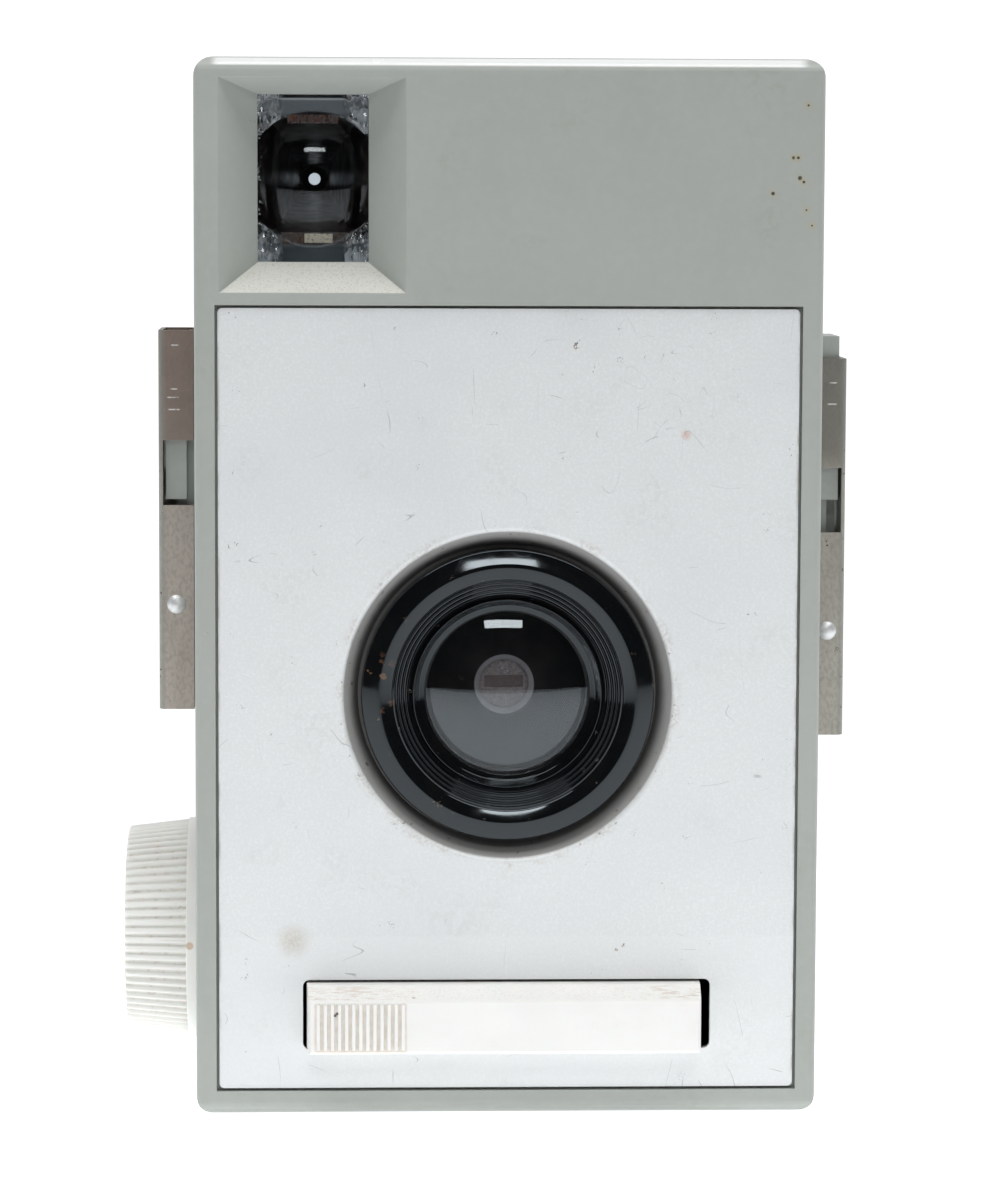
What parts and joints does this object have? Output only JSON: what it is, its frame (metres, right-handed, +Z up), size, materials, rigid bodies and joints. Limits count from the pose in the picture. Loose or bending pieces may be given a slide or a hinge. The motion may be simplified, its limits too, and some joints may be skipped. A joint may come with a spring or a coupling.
{
  "type": "box camera",
  "caption": "Upright box roll-film camera with a finder window, a deep lens mount, a press-bar shutter release, a ribbed wind knob and side latches holding a lift-off back.",
  "frame": {"origin": "centre of the flat base, on the surface it stands on", "axes": "+Z up, the lens faces -Y, +X to the right seen from the front"},
  "size_m": [0.0787, 0.0742, 0.111],
  "materials": {
    "housing_grey": "moulded, slightly satin",
    "panel_silver": "fine silver speckle lacquer",
    "gloss_black": "gloss",
    "lens_glass": "polished",
    "matte_black": "matt black",
    "dark_plastic": "matt moulded",
    "spring_steel": "bare",
    "blade_steel": "blued",
    "clear_plastic": "clear moulded",
    "tunnel_brown": "dark gloss",
    "ivory_plastic": "ivory, satin",
    "red_plastic": "ruby",
    "latch_metal": "nickel plated, spotted",
    "rivet_metal": "bright",
    "felt_black": "felt",
    "brass": "turned",
    "spool_black": "lacquered"
  },
  "bodies": {
    "camera_front": {"front_housing": "housing_grey", "front_panel": "panel_silver", "lens_bezel": "gloss_black", "lens_retaining_ring": "gloss_black", "taking_lens": "lens_glass", "aperture_plate": "matte_black", "shutter_plate": "spring_steel", "shutter_pivot": "spring_steel", "link_spring": "spring_steel", "release_pin": "spring_steel", "light_cone": "dark_plastic", "spool_frame": "matte_black", "carrier_screws": "spring_steel", "supply_stud": "spring_steel", "upper_spool_spring": "spring_steel", "lower_spool_spring": "spring_steel", "finder_front_lens": "clear_plastic", "finder_tube": "tunnel_brown"},
    "back_shell": {"back_cover": "housing_grey", "red_window": "red_plastic", "finder_eyepiece": "clear_plastic"},
    "winder": {"wind_knob": "ivory_plastic", "wind_shaft": "spring_steel", "knob_screw": "spring_steel", "knob_washer": "felt_black", "shaft_collar": "brass", "take_up_core": "spool_black", "take_up_flanges": "spool_black"},
    "release": {"release_bar": "ivory_plastic"},
    "link": {"shutter_link": "spring_steel"},
    "blade": {"shutter_blade": "blade_steel"},
    "left_latch": {"latch_left": "latch_metal", "latch_rivet_left": "rivet_metal"},
    "right_latch": {"latch_right": "latch_metal", "latch_rivet_right": "rivet_metal"}
  },
  "joints": [
    {"name": "back_shell_slide", "type": "slide", "parent": "camera_front", "child": "back_shell", "axis": [0, 1, 0], "range_m": [0, 0.06]},
    {"name": "wind_turn", "type": "hinge", "parent": "camera_front", "child": "winder", "pos_m": [-0.034, 0.0015, 0.0137], "axis": [-1, 0, 0], "continuous": true},
    {"name": "release_press", "type": "hinge", "parent": "camera_front", "child": "release", "pos_m": [0.0185, -0.0314, 0.0107], "axis": [0, 0, -1], "range_deg": [0, 4], "stiffness_Nm_per_rad": 0.4, "springref_deg": -5.73},
    {"name": "link_lift", "type": "slide", "parent": "camera_front", "child": "link", "axis": [0, 0, 1], "range_m": [0, 0.0032], "deforming": ["link_spring"]},
    {"name": "blade_swing", "type": "hinge", "parent": "camera_front", "child": "blade", "pos_m": [-0.011, -0.0233, 0.0366], "axis": [0, 1, 0], "range_deg": [0, 61]},
    {"name": "left_latch_slide", "type": "slide", "parent": "camera_front", "child": "left_latch", "axis": [0, 0, 1], "range_m": [-0.007, 0]},
    {"name": "right_latch_slide", "type": "slide", "parent": "camera_front", "child": "right_latch", "axis": [0, 0, 1], "range_m": [-0.0041, 0.0029]}
  ],
  "couplings": [
    {"joint": "link_lift", "follows": "release_press", "m_per_rad": 0.044404},
    {"joint": "blade_swing", "follows": "release_press", "ratio": 15}
  ]
}
